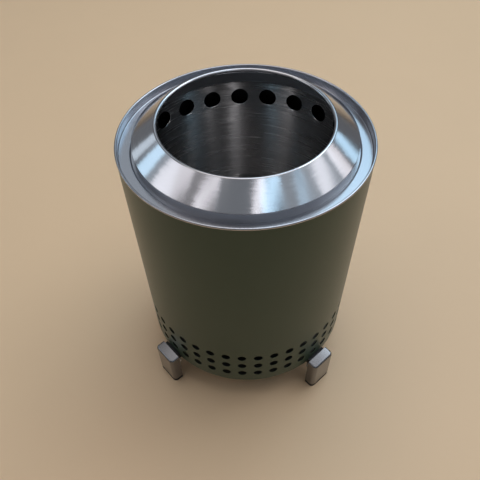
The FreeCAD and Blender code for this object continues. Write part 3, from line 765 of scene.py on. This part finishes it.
rim_steel = turned_steel("rim_steel", (0.56, 0.555, 0.59), (0.21, 0.26), 0.5, waver=0.006)
rim_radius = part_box("rim_collar")[1].x
flange_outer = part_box("base_plate")[1].x
flange_inner = flange_outer - COLLAR_SHEET
seat_wall = flange_inner - SHELF_WIDTH
seat_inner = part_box("flame_ring_skirt")[1].x - SEAT_REACH
shelf_height = RIM_HEIGHT - SHELF_DEPTH
seat_height = shelf_height - SEAT_DEPTH
collar_outline = rounded_outline([
    (rim_radius, RIM_HEIGHT - LIP_HEIGHT, COLLAR_EDGE),
    (rim_radius, RIM_HEIGHT, LIP_ROUND),
    (flange_inner, RIM_HEIGHT, LIP_ROUND),
    (flange_inner, shelf_height, SHELF_CORNER),
    (seat_wall, shelf_height, SHELF_EDGE),
    (seat_wall, seat_height, 0),
    (seat_inner, seat_height, COLLAR_EDGE),
    (seat_inner, seat_height - COLLAR_SHEET, COLLAR_EDGE),
    (seat_wall + COLLAR_SHEET, seat_height - COLLAR_SHEET, COLLAR_EDGE),
    (seat_wall + COLLAR_SHEET, shelf_height - COLLAR_SHEET, COLLAR_EDGE),
    (flange_outer, shelf_height - COLLAR_SHEET, COLLAR_BEND),
    (flange_outer, RIM_HEIGHT - LIP_HEIGHT, 0),
])
rim_collar = finished(spun("rim_collar_pressed", collar_outline), rim_steel)
settle(rim_collar, "drum", "rim_steel", "rim_collar")

# Flame ring.
# A polished cone, spun from 0.6 mm sheet, with its inner edge rolled over into a bead.
# A short upright band under it stands in the seat of the collar, so the ring lifts off.

CONE_SHEET = 0.0006
CONE_WIDTH = 0.014
CONE_SLOPE = radians(36.9)
CONE_FOOT_HEIGHT = 0.00015
BEAD_RADIUS = 0.0012
BEAD_DROP = 0.00265
CONE_FOOT_ROUND = 0.0003
CONE_EDGE = 0.00012
SKIRT_SHEET = 0.0005
SKIRT_EDGE = 0.0001

flame_steel = turned_steel(
    "flame_ring_steel", (0.66, 0.65, 0.68), (0.12, 0.17), 0.5,
    fineness=1400.0, waver=0.025, shade=0.86)
skirt_steel = turned_steel("skirt_steel", (0.54, 0.56, 0.60), (0.42, 0.50), 0.3)
cone_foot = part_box("flame_ring_cone")[1].x
opening = cone_foot - CONE_WIDTH
foot_height = RIM_HEIGHT + CONE_FOOT_HEIGHT
tip_height = foot_height + (cone_foot - opening) * tan(CONE_SLOPE)
tip_underside = tip_height - CONE_SHEET * tan(CONE_SLOPE) - CONE_SHEET / cos(CONE_SLOPE)
cone_outline = rounded_outline([
    (cone_foot, foot_height, CONE_FOOT_ROUND),
    (opening, tip_height, BEAD_RADIUS),
    (opening, tip_height - BEAD_DROP, CONE_EDGE),
    (opening + CONE_SHEET, tip_height - BEAD_DROP, CONE_EDGE),
    (opening + CONE_SHEET, tip_underside, BEAD_RADIUS - CONE_SHEET),
    (cone_foot - CONE_SHEET * sin(CONE_SLOPE), foot_height - CONE_SHEET * cos(CONE_SLOPE), CONE_EDGE),
], steps=8)
flame_ring_cone = finished(spun("flame_ring_cone_spun", cone_outline), flame_steel)
settle(flame_ring_cone, "flame_ring", "flame_ring_steel", "flame_ring_cone")

skirt_low, skirt_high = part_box("flame_ring_skirt")
skirt_outline = rounded_outline([
    (skirt_high.x, skirt_low.z, SKIRT_EDGE),
    (skirt_high.x, skirt_high.z, SKIRT_EDGE),
    (skirt_high.x - SKIRT_SHEET, skirt_high.z, SKIRT_EDGE),
    (skirt_high.x - SKIRT_SHEET, skirt_low.z, SKIRT_EDGE),
], steps=3)
flame_ring_skirt = finished(spun("flame_ring_skirt_rolled", skirt_outline), skirt_steel)
settle(flame_ring_skirt, "flame_ring", "flame_ring_steel", "flame_ring_skirt")

# Pellet adapter.
# A perforated pan that lies on the grate, with a tube in its middle that brings air into the pellets.
# A domed-edge cap with a ring of holes closes the tube.

adapter_steel = turned_steel("adapter_steel", (0.36, 0.35, 0.34), (0.15, 0.20), 0.5, shade=0.85)
dress("pellet_pan", adapter_steel)
dress("air_tube_cap", adapter_steel)

TUBE_SHEET = 0.0005
TUBE_COLUMNS = 12
TUBE_ROWS = 5
TUBE_HOLE_RADIUS = 0.0015
TUBE_HOLE_DROP = 0.008

tube_low, tube_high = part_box("air_tube")
tube_radius = tube_high.x
tube_holes = [tube_high.z - row * TUBE_HOLE_DROP for row in range(1, TUBE_ROWS + 1)]
tube_bottom = tube_holes[-1] - TUBE_HOLE_DROP / 2
tube_top = tube_holes[0] + TUBE_HOLE_DROP / 2
air_tube = punched_column("air_tube_punched", tube_radius, TUBE_SHEET, TUBE_COLUMNS, tube_holes,
                          TUBE_HOLE_RADIUS, TUBE_HOLE_DROP,
                          sheet_end(tube_radius, TUBE_SHEET, tube_low.z, tube_bottom),
                          sheet_end(tube_radius, TUBE_SHEET, tube_high.z, tube_top)[::-1], side=6)
repeated_round(air_tube, TUBE_COLUMNS, 0.0, adapter_steel)
settle(air_tube, "pellet_adapter", "adapter_steel", "air_tube")
